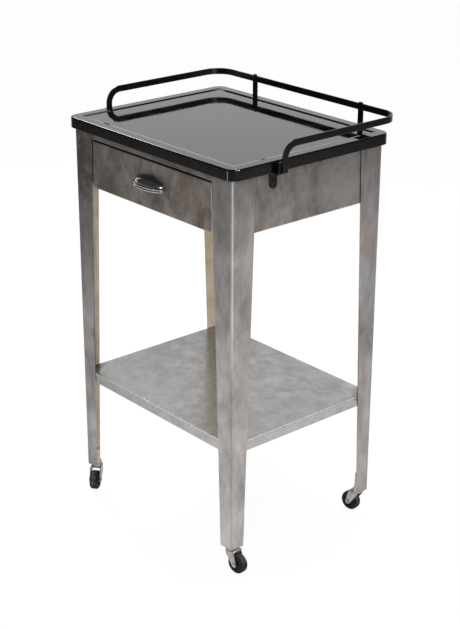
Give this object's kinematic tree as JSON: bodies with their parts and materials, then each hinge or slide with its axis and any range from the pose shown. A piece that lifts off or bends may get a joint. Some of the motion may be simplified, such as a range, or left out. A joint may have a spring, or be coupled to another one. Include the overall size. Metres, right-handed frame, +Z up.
{
  "type": "medical supply cart",
  "caption": "Steel clinic cart with a black enamelled tray top, black guard rail, drawer with a chrome cup pull, lower shelf, tapered angle legs and swivel casters.",
  "frame": {"origin": "centre of the object's bounding box at floor level", "axes": "+Z up, the drawer opens towards -Y, +X to the right when facing the drawer"},
  "size_m": [0.5376, 0.4302, 0.8776],
  "materials": {
    "steel": "bare stripped sheet steel, brushed and mottled, clear-sealed",
    "enamel": "glossy black vitreous enamel on pressed steel",
    "black_paint": "satin black paint on steel bar and strap",
    "chrome": "polished chrome plate",
    "zinc": "dull plated pressed steel",
    "hub": "black moulded hub",
    "rubber": "black rubber tread"
  },
  "bodies": {
    "frame": {"tabletop": "enamel", "leg_front_left": "steel", "leg_front_right": "steel", "leg_back_left": "steel", "leg_back_right": "steel", "side_apron_left": "steel", "side_apron_right": "steel", "back_apron": "steel", "front_rail": "steel", "shelf": "steel", "drawer_runner_left": "steel", "drawer_runner_right": "steel", "guard_rail": "black_paint", "rail_post_left": "black_paint", "rail_post_right": "black_paint", "rail_bracket_left": "black_paint", "rail_bracket_right": "black_paint", "caster_socket_front_left": "steel", "caster_stem_front_left": "zinc", "caster_socket_front_right": "steel", "caster_stem_front_right": "zinc", "caster_socket_back_left": "steel", "caster_stem_back_left": "zinc", "caster_socket_back_right": "steel", "caster_stem_back_right": "zinc"},
    "drawer": {"drawer_front": "steel", "drawer_tray": "steel", "drawer_pull": "chrome"},
    "swivel_front_left": {"caster_fork_front_left": "zinc", "caster_axle_front_left": "zinc"},
    "wheel_front_left": {"caster_hub_front_left": "hub", "caster_tyre_front_left": "rubber"},
    "swivel_front_right": {"caster_fork_front_right": "zinc", "caster_axle_front_right": "zinc"},
    "wheel_front_right": {"caster_hub_front_right": "hub", "caster_tyre_front_right": "rubber"},
    "swivel_back_left": {"caster_fork_back_left": "zinc", "caster_axle_back_left": "zinc"},
    "wheel_back_left": {"caster_hub_back_left": "hub", "caster_tyre_back_left": "rubber"},
    "swivel_back_right": {"caster_fork_back_right": "zinc", "caster_axle_back_right": "zinc"},
    "wheel_back_right": {"caster_hub_back_right": "hub", "caster_tyre_back_right": "rubber"}
  },
  "joints": [
    {"name": "drawer_slide", "type": "slide", "parent": "frame", "child": "drawer", "axis": [0, -1, 0], "range_m": [0, 0.26]},
    {"name": "swivel_front_left", "type": "hinge", "parent": "frame", "child": "swivel_front_left", "pos_m": [-0.228, -0.1806, 0.0482], "axis": [0, 0, 1], "continuous": true},
    {"name": "wheel_front_left", "type": "hinge", "parent": "swivel_front_left", "child": "wheel_front_left", "pos_m": [-0.21753, -0.194, 0.02065], "axis": [0.788, 0.6157, 0], "continuous": true},
    {"name": "swivel_front_right", "type": "hinge", "parent": "frame", "child": "swivel_front_right", "pos_m": [0.228, -0.1806, 0.0482], "axis": [0, 0, 1], "continuous": true},
    {"name": "wheel_front_right", "type": "hinge", "parent": "swivel_front_right", "child": "wheel_front_right", "pos_m": [0.24494, -0.17912, 0.02065], "axis": [-0.0872, 0.9962, 0], "continuous": true},
    {"name": "swivel_back_left", "type": "hinge", "parent": "frame", "child": "swivel_back_left", "pos_m": [-0.228, 0.1749, 0.0482], "axis": [0, 0, 1], "continuous": true},
    {"name": "wheel_back_left", "type": "hinge", "parent": "swivel_back_left", "child": "wheel_back_left", "pos_m": [-0.24209, 0.16539, 0.02065], "axis": [0.5592, -0.829, 0], "continuous": true},
    {"name": "swivel_back_right", "type": "hinge", "parent": "frame", "child": "swivel_back_right", "pos_m": [0.228, 0.1749, 0.0482], "axis": [0, 0, 1], "continuous": true},
    {"name": "wheel_back_right", "type": "hinge", "parent": "swivel_back_right", "child": "wheel_back_right", "pos_m": [0.21109, 0.17312, 0.02065], "axis": [0.1045, -0.9945, 0], "continuous": true}
  ]
}
